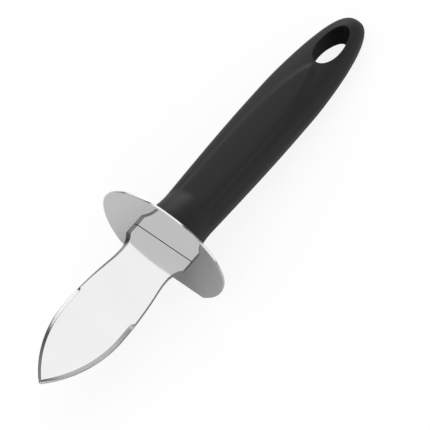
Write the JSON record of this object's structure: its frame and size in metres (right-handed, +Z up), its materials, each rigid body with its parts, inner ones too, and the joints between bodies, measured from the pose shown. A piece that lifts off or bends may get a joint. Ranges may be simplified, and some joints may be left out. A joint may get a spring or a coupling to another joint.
{
  "type": "oyster knife",
  "caption": "Short leaf-shaped steel blade with ground edges, an oval hand guard with a flat foot, and a moulded black handle with a hanging hole.",
  "frame": {"origin": "middle of the knife's box at table level, with the knife lying as it rests on a table, on its guard's foot and the end of its handle", "axes": "+X runs from the handle's end towards the tip, +Y across the blade, +Z up; the blade rises towards the tip at about 6.7 degrees"},
  "size_m": [0.1734, 0.05, 0.0388],
  "materials": {
    "blade_steel": "polished flats, ground edges",
    "guard_steel": "polished",
    "handle_plastic": "satin, fine moulded grain"
  },
  "bodies": {
    "root": {"blade": "blade_steel", "guard": "guard_steel", "handle": "handle_plastic"}
  },
  "joints": []
}
